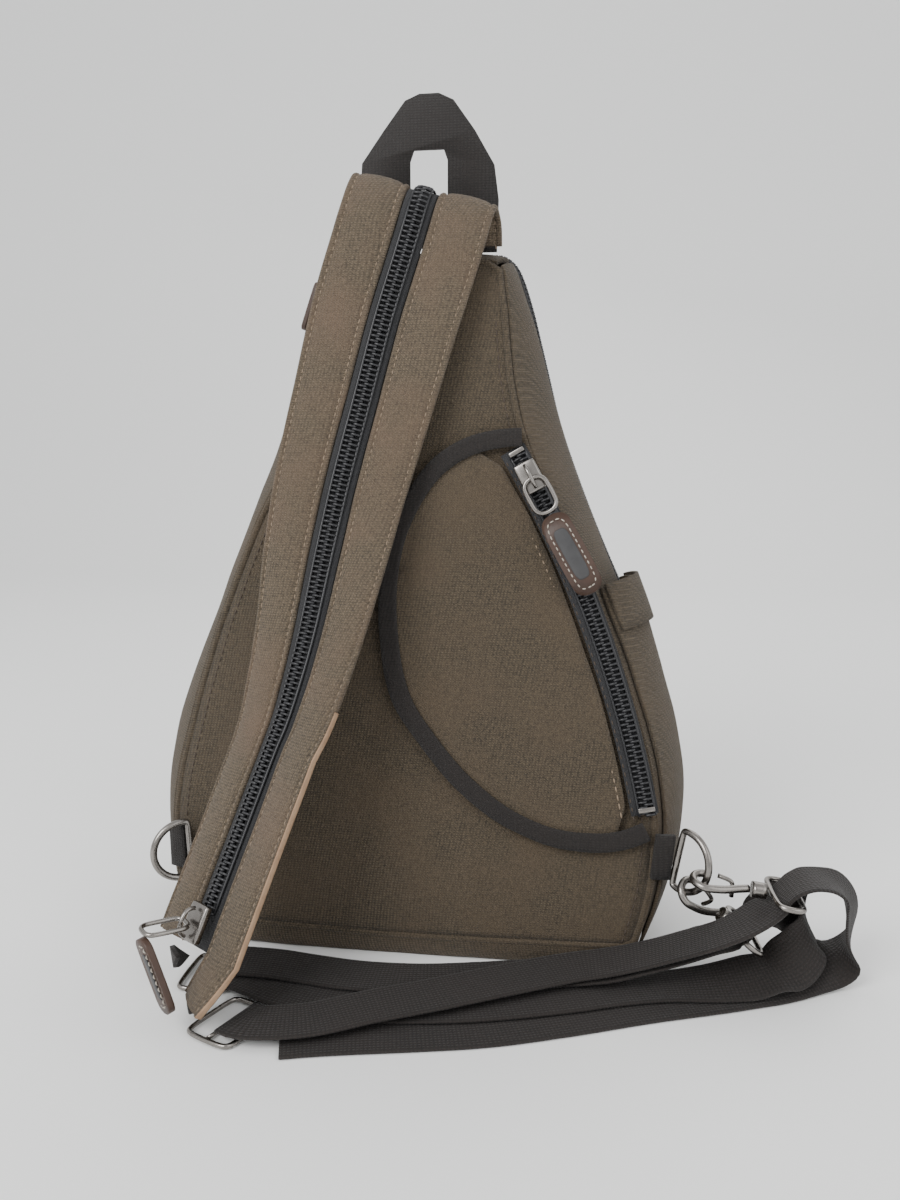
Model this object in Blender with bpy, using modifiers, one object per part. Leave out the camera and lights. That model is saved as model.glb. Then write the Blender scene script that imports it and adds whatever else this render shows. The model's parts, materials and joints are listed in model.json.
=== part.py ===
"""Canvas sling bag: a teardrop body, a carry handle and a wide strap of two halves zipped together.

The strap rises from the bag's top, folds over in front of the handle and hangs down across the
panel that rests against the wearer's back. Each half ends in webbing that runs through a buckle,
out to a snap hook on the right-hand ring and back.

Frame: X to the right as seen from the strap side, +Y away from that side, +Z up.
The origin is the middle of the base, which stands on Z = 0. Lengths in metres.
"""
import math

import bmesh
import bpy
from mathutils import Matrix, Vector

MM = 0.001
GAP = 0.3 * MM                # clearance between pieces that touch

# ---------------------------------------------------------------- driving dimensions
BODY_HEIGHT = 345 * MM
WALL = 2.4 * MM               # canvas with its lining
PANEL_CANVAS = 1.6 * MM
SEAM_GAP = 3.2 * MM           # from the body's seam to a panel's own edge
BASE_RISE = 11.4 * MM         # height of the base panel's turned-up edge
# The soft body leans: by height in mm, how far right its seams and its sides stand.
LEAN = ((0, 6.5, 3), (110, 6.5, 3.5), (160, 4.5, 4), (205, 3, 3), (255, 2.5, 2.5), (300, 4, 4), (346, 7, 7))
BULGE_POWER = 0.8             # how squarely the side walls bulge between their seams

# Body outline by height: (side x, side z, seam x, seam z, strap-side y, far-side y), in mm.
OUTLINE = (
    (119, 12.5, 112, 12.5, -57, 56),
    (133, 38, 118.5, 38, -53.4, 59.5),
    (136, 75, 120.5, 75, -47, 61),
    (129, 115, 112, 115, -40, 61),
    (112, 160, 98, 160, -32.2, 59),
    (93, 205, 80, 205, -24.3, 56),
    (75, 255, 57, 255, -15.7, 51),
    (61, 300, 49, 300, -7.8, 46),
    (50, 330, 44, 329, -2.6, 43),
    (44, 341, 39.5, 336.5, -1.0, 42),
    (33, 345.2, 30, 340, -0.4, 41.6),
    (0, 346, 0, 340.6, -0.4, 41.6),
)
FACE_ROWS = 10.0              # outline position where the flat faces stop, just below the top
ROWS_PER_STEP = 2

ZIP_LINE = (0.63, 0.74)       # share of the side wall's depth that the main zip takes
MAIN_ZIP_FROM = 1.6           # outline position of the main zip's lower ends
POCKET_ROWS = (0.05, 4.44)    # outline positions of the bottle pocket's foot and mouth

WEBBING_WIDTH = 25 * MM
WEBBING_THICKNESS = 1.5 * MM
RING_WIRE = 1.9 * MM
RING_RADIUS = 14.2 * MM

# The strap: its zip line in mm, the direction across it, and the width of one half.
STRAP = (
    ((9.5, 7.5, 347.2), (1, 0, 0), 28.5),
    ((9.5, 6.8, 359), (0.995, 0, -0.10), 28.5),
    ((9.4, 4.0, 367.5), (0.98, 0, -0.20), 28.5),
    ((8.6, -2.5, 371.5), (0.97, 0.02, -0.24), 28.5),
    ((7.0, -8.8, 365.5), (0.965, 0.04, -0.26), 28.5),
    ((4.2, -12.7, 354), (0.96, 0.06, -0.28), 28.5),
    ((-0.6, -15.6, 337.4), (0.955, 0.07, -0.29), 28.4),
    ((-8.8, -21.4, 308.6), (0.965, 0.03, -0.26), 28.2),
    ((-17.8, -29.5, 270.2), (0.97, 0.03, -0.24), 26.5),
    ((-26.8, -37.8, 232), (0.975, 0.03, -0.22), 24.6),
    ((-33.6, -48.2, 194.3), (0.985, -0.10, -0.15), 22.9),
    ((-39.1, -60.7, 157.6), (0.945, -0.31, -0.10), 21.4),
    ((-45.5, -74.0, 126), (0.87, -0.49, -0.05), 21.1),
    ((-50.3, -81.0, 110.3), (0.83, -0.56, 0.0), 21.0),
)
# From its last station the strap runs straight to here, so that its slider can run straight.
STRAP_FOOT = Vector((-74.9, -116.9, 30)) * MM
STRAP_TIP = Vector((-79.3, -122.5, 17.5)) * MM
TIP_ACROSS = Vector((0.55, -0.82, -0.09))
HALF_AT_FOOT = 20.5 * MM
STRAP_GAP = 16 * MM           # zip showing between the halves
STRAP_THICKNESS = 4.6 * MM

# Webbing routes in mm, chosen by hand: a point on the middle line and the direction across it.
# Each runs from its buckle along the floor, through a hook's eye, round a loop and back.
OUTER_WEBBING = (
    ((-54.5, -128, 5.2), (-0.40, -0.92, 0)),
    ((-44, -131.5, 6.0), (-0.10, -0.99, 0)),
    ((-22, -126.5, 6.2), (0.30, -0.95, 0)),
    ((2, -114.5, 7.0), (0.42, -0.90, 0)),
    ((26, -104.5, 8.2), (0.42, -0.90, 0)),
    ((51, -91.5, 8.5), (0.45, -0.89, 0)),
    ((84, -75, 9.0), (0.28, -0.96, 0)),
    ((104, -72, 12), (0.08, -1, 0)),
    ((122, -71.5, 17), (0, -1, 0)),
    ((140, -72.2, 24), (0, -1, 0)),
    ((153, -73, 29.6), (0, -1, 0)),
    ((164, -71.8, 35), (0.10, -0.99, 0)),
    ((173, -67.5, 39.2), (0.12, -0.99, 0)),
    ((179, -64, 42.4), (0, -1, 0)),
    ((183, -62.2, 46.4), (0, -1, 0)),
    ((187.5, -61.4, 50.4), (0, -1, 0)),
    ((194.5, -60, 52.8), (0, -1, 0)),
    ((203, -57.5, 51.2), (-0.12, -0.98, 0.05)),
    ((210.5, -54.5, 46), (-0.28, -0.94, 0.05)),
    ((215.5, -51.5, 36), (-0.40, -0.90, 0)),
    ((217, -49, 24.5), (-0.36, -0.90, -0.18)),
    ((214.5, -49, 14.5), (-0.12, -0.88, -0.42)),
    ((209, -51.5, 9.5), (0.16, -0.83, -0.52)),
    ((196, -57, 6.6), (0.26, -0.85, -0.45)),
    ((181, -64.5, 4.0), (0.32, -0.91, -0.26)),
    ((165, -71, 1.9), (0.30, -0.95, -0.07)),
    ((150, -77, 1.1), (0.28, -0.96, 0)),
    ((118, -89, 1.05), (0.33, -0.94, 0)),
    ((85, -103, 1.05), (0.33, -0.94, 0)),
    ((53, -115, 1.05), (0.24, -0.97, 0)),
    ((25, -122, 1.05), (0.20, -0.98, 0)),
    ((-3, -128, 1.05), (0.22, -0.97, 0)),
    ((-20, -132, 1.05), (0.24, -0.97, 0)),
    ((-32.5, -135.5, 1.05), (0.26, -0.97, 0)),
)
INNER_WEBBING = (
    ((-77.5, -88, 8.3), (0, -1, 0)),
    ((-66, -87.5, 8.3), (0, -1, 0)),
    ((-50, -86, 7.2), (0, -1, 0)),
    ((-34, -85.5, 5.5), (-0.05, -1, 0)),
    ((-10, -87.5, 5.2), (0, -1, 0)),
    ((18, -86.5, 5.4), (0.14, -0.99, 0)),
    ((46, -81, 5.4), (0.30, -0.95, 0)),
    ((78, -73.5, 5.8), (0.25, -0.97, 0)),
    ((104, -71.2, 8.6), (0.08, -0.99, 0)),
    ((121, -70.5, 13.6), (0.05, -1, 0)),
    ((136, -67, 17.6), (0.15, -0.99, 0)),
    ((148, -60.5, 19.3), (0.20, -0.98, 0)),
    ((157, -54.5, 19.2), (0.10, -0.99, 0)),
    ((162.8, -52.2, 19.8), (0, -1, 0)),
    ((168, -51.8, 22.8), (0, -1, 0)),
    ((172.8, -51, 28.2), (0, -1, 0)),
    ((179.6, -47.4, 30), (-0.10, -0.89, -0.44)),
    ((185.6, -44.5, 31.2), (0.17, -0.44, -0.88)),
    ((191.2, -42.4, 30.1), (-0.07, -0.11, -0.99)),
    ((194.8, -44.3, 29), (0.28, -0.25, -0.93)),
    ((196.8, -49.1, 26.8), (0.36, -0.28, -0.89)),
    ((196.5, -55.2, 23.3), (0.21, -0.32, -0.92)),
    ((193.4, -60.6, 18.8), (0.64, -0.17, -0.75)),
    ((187.2, -64.4, 14.4), (0, -0.60, -0.80)),
    ((178.3, -67.2, 10.7), (-0.46, -0.80, -0.38)),
    ((166.8, -69.5, 7.8), (0.27, -0.91, -0.32)),
    ((151, -71.8, 5.4), (0.08, -0.98, -0.17)),
    ((130, -74, 3.3), (0.15, -0.99, 0)),
    ((108, -80, 3.2), (0.25, -0.97, 0)),
    ((82, -90, 3.2), (0.25, -0.97, 0)),
    ((45, -101.5, 3.2), (0.16, -0.99, 0)),
    ((8, -107.5, 3.2), (0.02, -1, 0)),
    ((-18, -106.5, 3.2), (-0.05, -0.99, 0)),
    ((-40, -103, 4.1), (-0.12, -0.98, 0)),
    ((-55, -97.5, 5.0), (-0.14, -0.98, 0)),
    ((-67, -92.5, 5.2), (-0.06, -0.99, 0)),
)
WEBBING_STEPS = 2             # smooth steps between two points of a route

# Rings: middle of the straight bar, its direction, and the way the bow points.
RIGHT_RING = (Vector((136.5, -51, 56)) * MM, Vector((0.175, 0, 0.985)), Vector((0.68, -0.71, -0.12)))
LEFT_RING = (Vector((-101.5, -59.5, 50.5)) * MM, Vector((-0.05, 0, 1)), Vector((-0.78, -0.62, 0)))

# Hooks: angle of the grip round the ring's bow, and the point that the eye's end bar reaches.
HOOKS = {
    "hook_1": (math.radians(-12), Vector((189.5, -62, 45)) * MM),
    "hook_2": (math.radians(-58), Vector((172.7, -51.2, 18.6)) * MM),
}

# Back pocket: its curved edge on the panel, and its zip's line beside the seam, as (x, z) in mm.
POCKET_EDGE = ((59, 253), (48, 252), (33.5, 248), (18.8, 238.5), (8.2, 224.5), (-0.4, 207.5),
               (-4.9, 188), (-5.9, 168.5), (-3.4, 149), (2.7, 127.5), (14.6, 108.7), (29.8, 90.2),
               (47.2, 76.3), (64.3, 67.7), (81.1, 62.9), (100, 62.3), (113, 64.8), (121.5, 68.5))
PANEL_SLOPE = Vector((0, 0.172, 0.985))   # up the flat strap-side panel
ZIP_ARC_CENTRE = (-417.0, -31.0)           # the pocket zip is an arc: its centre's x and z, in mm
ZIP_ARC_RADIUS = 549.5 * MM
ZIP_ARC = (30.8, 11.3)                    # degrees above the level at its top and its foot

COLOURS = {
    "canvas": ((0.135, 0.105, 0.075), 0.95, 0.0),
    "canvas_light": ((0.20, 0.16, 0.12), 0.95, 0.0),
    "webbing": ((0.030, 0.022, 0.018), 0.85, 0.0),
    "zip_black": ((0.012, 0.012, 0.014), 0.55, 0.0),
    "nickel": ((0.33, 0.31, 0.29), 0.35, 1.0),
    "leather": ((0.060, 0.030, 0.018), 0.6, 0.0),
    "lining": ((0.050, 0.045, 0.040), 0.9, 0.0),
    "foam": ((0.30, 0.30, 0.32), 0.9, 0.0),
}


# ---------------------------------------------------------------- scene and helpers
def clear_scene():
    for thing in list(bpy.data.objects):
        bpy.data.objects.remove(thing, do_unlink=True)


def make_collection(name):
    collection = bpy.data.collections.new(name)
    bpy.context.scene.collection.children.link(collection)
    return collection


def make_material(node, finish):
    colour, roughness, metallic = COLOURS[finish]
    material = bpy.data.materials.new(node + "_" + finish)
    material.use_nodes = True
    shader = material.node_tree.nodes["Principled BSDF"]
    shader.inputs["Base Color"].default_value = (*colour, 1.0)
    shader.inputs["Roughness"].default_value = roughness
    shader.inputs["Metallic"].default_value = metallic
    material.diffuse_color = (*colour, 1.0)
    return material


def place(name, data, finish, parent=None):
    """Make the object of a node; its mesh is in world space until a parent's origin is taken off."""
    thing = bpy.data.objects.new(name, data)
    bag.objects.link(thing)
    data.materials.append(make_material(name, finish))
    if parent is not None:
        thing.parent = parent
        thing.matrix_parent_inverse = parent.matrix_world.inverted()
    return thing


def joint_empty(name, position):
    """An empty on a joint's axis, the parent of the pieces that move with it."""
    empty = bpy.data.objects.new(name, None)
    empty.location = position
    bag.objects.link(empty)
    bpy.context.view_layer.update()
    return empty


def smooth(points, steps, closed=False):
    """Catmull-Rom curve through the points, a number of steps in each span."""
    count = len(points)
    spans = count if closed else count - 1
    out = []
    for i in range(spans):
        if closed:
            p0, p1, p2, p3 = (points[(i + k) % count] for k in (-1, 0, 1, 2))
        else:
            p1, p2 = points[i], points[i + 1]
            p0 = points[i - 1] if i > 0 else p1 * 2 - p2
            p3 = points[i + 2] if i + 2 < count else p2 * 2 - p1
        for k in range(steps):
            t = k / steps
            out.append(0.5 * ((p1 * 2) + (p2 - p0) * t + (p0 * 2 - p1 * 5 + p2 * 4 - p3) * t * t
                              + (p1 * 3 - p0 - p2 * 3 + p3) * t * t * t))
    if not closed:
        out.append(points[-1])
    return out


def grid_mesh(name, rows, around=False, bottom=False):
    """An open surface through rows of points; its faces look away from (next row) x (next column)."""
    surface = bmesh.new()
    lines = [[surface.verts.new(p) for p in row] for row in rows]
    for low, high in zip(lines, lines[1:]):
        count = len(low)
        for j in range(count if around else count - 1):
            k = (j + 1) % count
            surface.faces.new((low[j], low[k], high[k], high[j]))
    if bottom:
        surface.faces.new(list(reversed(lines[0])))
    mesh = bpy.data.meshes.new(name)
    surface.to_mesh(mesh)
    surface.free()
    mesh.shade_smooth()
    mesh.set_sharp_from_angle(angle=math.radians(40))
    return mesh


def shell(name, rows, thickness, finish, parent=None, offset=-1, around=False, bottom=False):
    """A sheet of constant thickness; offset -1 grows it behind its faces, 0 on both sides."""
    thing = place(name, grid_mesh(name, rows, around, bottom), finish, parent)
    solid = thing.modifiers.new("thickness", "SOLIDIFY")
    solid.thickness = thickness
    solid.offset = offset
    solid.use_even_offset = True
    solid.use_quality_normals = True
    return thing


def ribbon_rows(middle, across, width, columns=1, square=True):
    """Rows across a band: its middle line, its direction across (made square to the line), its width."""
    rows = []
    for i, point in enumerate(middle):
        ahead = middle[min(i + 1, len(middle) - 1)]
        behind = middle[max(i - 1, 0)]
        along = (ahead - behind).normalized() if square else Vector((0, 0, 0))
        side = (across[i] - along * across[i].dot(along)).normalized()
        half = (width[i] if isinstance(width, list) else width) / 2
        rows.append([point + side * half * (2 * k / columns - 1) for k in range(columns + 1)])
    return rows


def tube(name, points, radius, finish, closed=False, parent=None, sides=2):
    """A round wire through the points, with flat ends unless it closes on itself."""
    curve = bpy.data.curves.new(name, "CURVE")
    curve.dimensions = "3D"
    curve.bevel_depth = radius
    curve.bevel_resolution = sides
    curve.resolution_u = 1
    curve.use_fill_caps = not closed
    line = curve.splines.new("POLY")
    line.points.add(len(points) - 1)
    for target, point in zip(line.points, points):
        target.co = (*point, 1.0)
    line.use_cyclic_u = closed
    return place(name, curve, finish, parent)


def frame_matrix(origin, x_axis, y_axis):
    """A placement whose x and y axes are the given directions, made square to each other."""
    x_axis = x_axis.normalized()
    z_axis = x_axis.cross(y_axis).normalized()
    y_axis = z_axis.cross(x_axis)
    matrix = Matrix((x_axis, y_axis, z_axis)).transposed().to_4x4()
    matrix.translation = origin
    return matrix


def plate(name, outline, thickness, matrix, finish, parent=None):
    """A flat piece: a closed outline in the matrix's x-y plane, centred on it in thickness."""
    curve = bpy.data.curves.new(name, "CURVE")
    curve.dimensions = "2D"
    curve.fill_mode = "BOTH"
    curve.extrude = thickness / 2
    line = curve.splines.new("POLY")
    line.points.add(len(outline) - 1)
    for target, (x, y) in zip(line.points, outline):
        target.co = (x, y, 0, 1)
    line.use_cyclic_u = True
    thing = place(name, curve, finish)
    thing.matrix_world = matrix
    if parent is not None:
        bpy.context.view_layer.update()
        thing.parent = parent
        thing.matrix_parent_inverse = parent.matrix_world.inverted()
    return thing


def block(name, size, matrix, finish, parent=None, bevel=0.0):
    """A box with rounded edges, placed by a matrix."""
    builder = bmesh.new()
    bmesh.ops.create_cube(builder, size=1.0)
    bmesh.ops.scale(builder, vec=size, verts=builder.verts)
    bmesh.ops.transform(builder, matrix=matrix, verts=builder.verts)
    mesh = bpy.data.meshes.new(name)
    builder.to_mesh(mesh)
    builder.free()
    thing = place(name, mesh, finish, parent)
    if bevel:
        edge = thing.modifiers.new("rounding", "BEVEL")
        edge.width = bevel
        edge.segments = 2
        edge.limit_method = "ANGLE"
    return thing


def rounded_outline(width, height, radius, steps=3):
    """A rectangle with round corners about the origin, anticlockwise."""
    points = []
    for corner in range(4):
        x = (width / 2 - radius) * (1, -1, -1, 1)[corner]
        y = (height / 2 - radius) * (1, 1, -1, -1)[corner]
        for k in range(steps + 1):
            angle = math.radians(90) * (corner + k / steps)
            points.append((x + radius * math.cos(angle), y + radius * math.sin(angle)))
    return points


# ---------------------------------------------------------------- body
def outline_at(position):
    """Side and seam points of the outline and the two faces' y, at a place along OUTLINE's rows."""
    rows = [Vector(row[:3]) for row in OUTLINE], [Vector(row[3:]) for row in OUTLINE]
    i = min(int(position), len(OUTLINE) - 2)
    values = []
    for part in rows:
        near = [part[max(i - 1, 0)], part[i], part[i + 1], part[min(i + 2, len(part) - 1)]]
        if i == 0:
            near[0] = near[1] * 2 - near[2]
        t = position - i
        p0, p1, p2, p3 = near
        values.extend(0.5 * ((p1 * 2) + (p2 - p0) * t + (p0 * 2 - p1 * 5 + p2 * 4 - p3) * t * t
                             + (p1 * 3 - p0 - p2 * 3 + p3) * t * t * t))
    return [value * MM for value in values]


def lean(z, at_side=0.0):
    """How far to the right the body stands at a height: at its seams (0) or its sides (1)."""
    height = max(0.0, z / MM)
    for (z0, seam0, side0), (z1, seam1, side1) in zip(LEAN, LEAN[1:]):
        if height <= z1:
            break
    share = min(1.0, (height - z0) / (z1 - z0))
    seam, side = seam0 + (seam1 - seam0) * share, side0 + (side1 - side0) * share
    return (seam + (side - seam) * at_side) * MM


def seam_edge(position, inset):
    """Half width and height of a flat face's edge, a distance in from the seam."""
    _, _, ahead_x, ahead_z, _, _ = outline_at(min(position + 0.02, len(OUTLINE) - 1.0))
    _, _, behind_x, behind_z, _, _ = outline_at(max(position - 0.02, 0.0))
    _, _, seam_x, seam_z, _, _ = outline_at(position)
    run = Vector((ahead_x - behind_x, ahead_z - behind_z)).normalized()
    return seam_x - run.y * inset, seam_z + run.x * inset


def wall_point(position, depth, side, out=0.0):
    """A point of the side wall: depth 0 at the strap-side seam, 1 at the far seam, out outward."""
    side_x, side_z, seam_x, seam_z, near_y, far_y = outline_at(position)
    bulge = math.sin(math.pi * depth) ** BULGE_POWER if 0 < depth < 1 else 0.0
    x = seam_x + (side_x - seam_x) * bulge
    z = seam_z + (side_z - seam_z) * bulge
    if out:
        ahead = outline_at(position + 0.01)
        behind = outline_at(position - 0.01)
        along = Vector((ahead[0] - behind[0], ahead[1] - behind[1])).normalized()
        x += along.y * out
        z -= along.x * out
    return Vector((side * x + lean(z, bulge), near_y + (far_y - near_y) * depth, z))


def positions(first, last, per_step=ROWS_PER_STEP):
    count = max(1, round((last - first) * per_step))
    return [first + (last - first) * k / count for k in range(count + 1)]


def wall_strip(first, last, depths, side, out=None):
    """Rows of a side wall strip, ordered so that its faces look outward."""
    rows = []
    for position in positions(first, last):
        row = [wall_point(position, d, side, out(position, d) if out else 0.0) for d in depths]
        rows.append(row if side > 0 else row[::-1])
    return rows


def arch_strip(first, depths, out=0.0):
    """Rows of a strip that goes up the right side, over the top and down the left."""
    top = len(OUTLINE) - 1.0
    up = [[wall_point(p, d, 1, out) for d in depths] for p in positions(first, top)]
    down = [[wall_point(p, d, -1, out) for d in depths] for p in positions(first, top)]
    return up + down[::-1][1:]


def near_plane(z):
    """The strap side's y at a height, from the outline's seams."""
    low, high = 0.0, len(OUTLINE) - 1.0
    for _ in range(24):
        middle = (low + high) / 2
        if outline_at(middle)[3] < z:
            low = middle
        else:
            high = middle
    return outline_at(low)[4]


def back_point(share, position, depth=0.0, edge=SEAM_GAP):
    """A point of the strap-side panel, share -1 to 1 across it, depth behind its outer face."""
    half, z = seam_edge(position, edge)
    crown = 1.6 * MM * (1 - share * share)
    return Vector((share * half + lean(z), near_plane(z) - crown + depth, z))


def back_surface(x, z, out=0.0):
    """A point at (x, z) over the strap-side panel's crown, moved out towards the strap side."""
    return Vector((x, near_plane(z) - 1.6 * MM - out, z))


def face_rows(depth, edge, first, last, columns=8):
    shares = [2 * k / columns - 1 for k in range(columns + 1)]
    return [[back_point(s, p, depth, edge) for s in shares] for p in positions(first, last)]


def front_rows(columns=8):
    rows = []
    for position in positions(0, FACE_ROWS):
        half, z = seam_edge(position, SEAM_GAP)
        far_y = outline_at(position)[5]
        row = []
        for k in range(columns + 1):
            share = 1 - 2 * k / columns
            dome = 9 * MM * (1 - share * share) * max(0.0, min(1.0, (BODY_HEIGHT - z) / (120 * MM)))
            row.append(Vector((share * half + lean(z), far_y + dome, z)))
        rows.append(row)
    return rows


def base_loops():
    """Level loops of the base panel, from its flat underside up to the walls' lower edge."""
    depths = (0.0, 0.03, 0.12, 0.3, 0.5, 0.7, 0.88, 0.97, 1.0)
    right = [wall_point(0, d, 1) for d in depths]
    left = [wall_point(0, d, -1) for d in reversed(depths)]
    far_y, near_y = right[-1].y, right[0].y
    middle = 6.5
    far = [Vector(((x + middle) * MM, far_y + 9 * MM * (1 - (x / 112) ** 2), 0))
           for x in (75, 38, 0, -38, -75)]
    near = [Vector(((x + middle) * MM, near_y - 1.6 * MM * (1 - (x / 112) ** 2), 0))
            for x in (-75, -38, 0, 38, 75)]
    loop = right + far + left + near
    levels = ((0.0, 0.945), (2.2 * MM, 0.978), (6.5 * MM, 0.995), (BASE_RISE, 1.0))
    return [[Vector((p.x * s, p.y * s, z)) for p in loop] for z, s in levels]


def build_body():
    shell("base_panel", base_loops(), WALL, "canvas", around=True, bottom=True)
    board = [(p.x * 0.93, p.y * 0.90) for p in base_loops()[0]]
    plate("base_board", board, 2.0 * MM, Matrix.Translation((0, 0, WALL + 1.5 * MM)), "lining")
    shell("back_panel", face_rows(0, SEAM_GAP, 0, FACE_ROWS), PANEL_CANVAS, "canvas")
    shell("back_foam_pad", face_rows(2.2 * MM, 10 * MM, 0.25, 8.25), 5.0 * MM, "foam")
    shell("back_lining", face_rows(7.8 * MM, 9 * MM, 0.25, 8.5), 0.9 * MM, "lining")
    slip = face_rows(9.4 * MM, 34 * MM, 1.2, 4.0, columns=4)
    shell("inner_slip_pocket", slip, 0.9 * MM, "lining")
    shell("front_panel", front_rows(), PANEL_CANVAS + 0.6 * MM, "canvas")
    top_from = 9.3
    top = len(OUTLINE) - 1.0
    near_depths = (0.0, 0.05, 0.13, 0.25, 0.38, 0.50, ZIP_LINE[0] - 0.012)
    for side, name in ((1, "gusset_right"), (-1, "gusset_left")):
        shell(name, wall_strip(0, top_from - 0.4, near_depths, side), WALL, "canvas")
    up = [[wall_point(p, d, 1) for d in near_depths] for p in positions(top_from, top)]
    down = [[wall_point(p, d, -1) for d in near_depths] for p in positions(top_from, top)]
    shell("top_strip", up + down[::-1][1:], WALL, "canvas")
    shell("front_gusset", arch_strip(0, (ZIP_LINE[1] + 0.012, 0.84, 0.93, 1.0)), WALL, "canvas")


def build_main_zip():
    middle = sum(ZIP_LINE) / 2
    shell("main_zip_tape", arch_strip(MAIN_ZIP_FROM, (*ZIP_LINE,), -0.6 * MM), 0.9 * MM, "zip_black")
    half = 0.026
    shell("main_zip_coil", arch_strip(MAIN_ZIP_FROM + 0.1, (middle - half, middle + half), 1.9 * MM),
          1.9 * MM, "zip_black")
    for side, name in ((1, "main_zip_end_right"), (-1, "main_zip_end_left")):
        strip = wall_strip(0, MAIN_ZIP_FROM - 0.05, (*ZIP_LINE,), side, lambda p, d: -0.2 * MM)
        shell(name, strip, WALL, "canvas")
    low = wall_point(6.3, middle, -1, 3.4 * MM)
    high = wall_point(7.9, middle, -1, 3.4 * MM)
    along = (high - low).normalized()
    outward = Vector((-along.z, 0, along.x)).normalized()
    seat = frame_matrix(high + outward * 2.6 * MM, along, outward.cross(along))
    slider = joint_empty("main_slider_joint", seat.translation)
    block("main_slider", (15 * MM, 9.5 * MM, 4.2 * MM), seat, "nickel", slider, 1.2 * MM)
    hinge = seat.translation + seat.to_3x3() @ Vector((4.5, 0, 4.6)) * MM
    pull = joint_empty("main_pull_joint", hinge)
    tab = frame_matrix(hinge + seat.to_3x3() @ Vector((-14, 0, 1.2)) * MM, along, outward.cross(along))
    plate("main_pull_tab", rounded_outline(26 * MM, 10 * MM, 3 * MM), 2.4 * MM, tab, "leather", pull)


def build_side_pocket():
    """A slim bottle pocket on the right side wall, open at the top, with a folded hem."""
    depths = (0.03, 0.09, 0.18, 0.29, 0.40, 0.50, 0.57, 0.605)

    def stand_off(position, depth):
        rise = (position - POCKET_ROWS[0]) / (POCKET_ROWS[1] - POCKET_ROWS[0])
        across = math.sin(math.pi * (depth - depths[0]) / (depths[-1] - depths[0])) ** 0.6
        return 2.2 * MM + (1.2 * MM + 6.4 * MM * rise ** 2.2) * max(0.0, across)

    first, last = POCKET_ROWS
    shell("side_pocket", wall_strip(first, last, depths, 1, stand_off), 1.6 * MM, "canvas")

    def hem_out(position, depth):
        return stand_off(position, depth) + 2.7 * MM

    shell("side_pocket_hem", wall_strip(last - 0.46, last + 0.02, depths, 1, hem_out),
          1.5 * MM, "canvas_light")


# ---------------------------------------------------------------- back pocket and its zip
def zip_point(angle, lift=0.0, shift=0.0):
    """A point of the pocket zip's arc, lifted off the panel and shifted away from the arc's centre."""
    turn = math.radians(angle)
    reach = ZIP_ARC_RADIUS + shift
    x = ZIP_ARC_CENTRE[0] * MM + reach * math.cos(turn)
    run = reach * math.sin(turn) + ZIP_ARC_CENTRE[1] * MM
    base = Vector((0, near_plane(160 * MM) - 0.160 * PANEL_SLOPE.y / PANEL_SLOPE.z, 0))
    out = Vector((1, 0, 0)).cross(PANEL_SLOPE)
    return base + Vector((x, 0, 0)) + PANEL_SLOPE * run + out * lift


def build_back_pocket():
    edge = smooth([Vector((x, z)) * MM for x, z in POCKET_EDGE], 2)
    rows = []
    count = 16
    for k in range(count + 1):
        angle = ZIP_ARC[0] + (ZIP_ARC[1] - ZIP_ARC[0]) * (0.03 + 0.94 * k / count)
        at_zip = zip_point(angle, 2.5 * MM, -9.0 * MM)
        near = edge[4 + round((len(edge) - 8) * k / count)]
        rows.append([back_surface(near.x + (at_zip.x - near.x) * j / 5,
                                  near.y + (at_zip.z - near.y) * j / 5, 1.0 * MM) for j in range(6)])
    shell("back_pocket_panel", rows[::-1], 1.4 * MM, "canvas", offset=1)
    middle = [back_surface(p.x, p.y, 3.8 * MM) for p in edge]
    across = []
    for i in range(len(edge)):
        run = edge[min(i + 1, len(edge) - 1)] - edge[max(i - 1, 0)]
        across.append(Vector((-run.y, 0, run.x)).normalized())
    shell("back_pocket_binding", ribbon_rows(middle, across, 9 * MM), 1.2 * MM, "webbing", offset=0)


def zip_seat(angle, lift):
    """A placement on the pocket zip: x down the zip, z out of the panel."""
    out = Vector((1, 0, 0)).cross(PANEL_SLOPE)
    along = (zip_point(angle - 0.5) - zip_point(angle + 0.5)).normalized()
    return frame_matrix(zip_point(angle, lift), along, out.cross(along))


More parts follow.
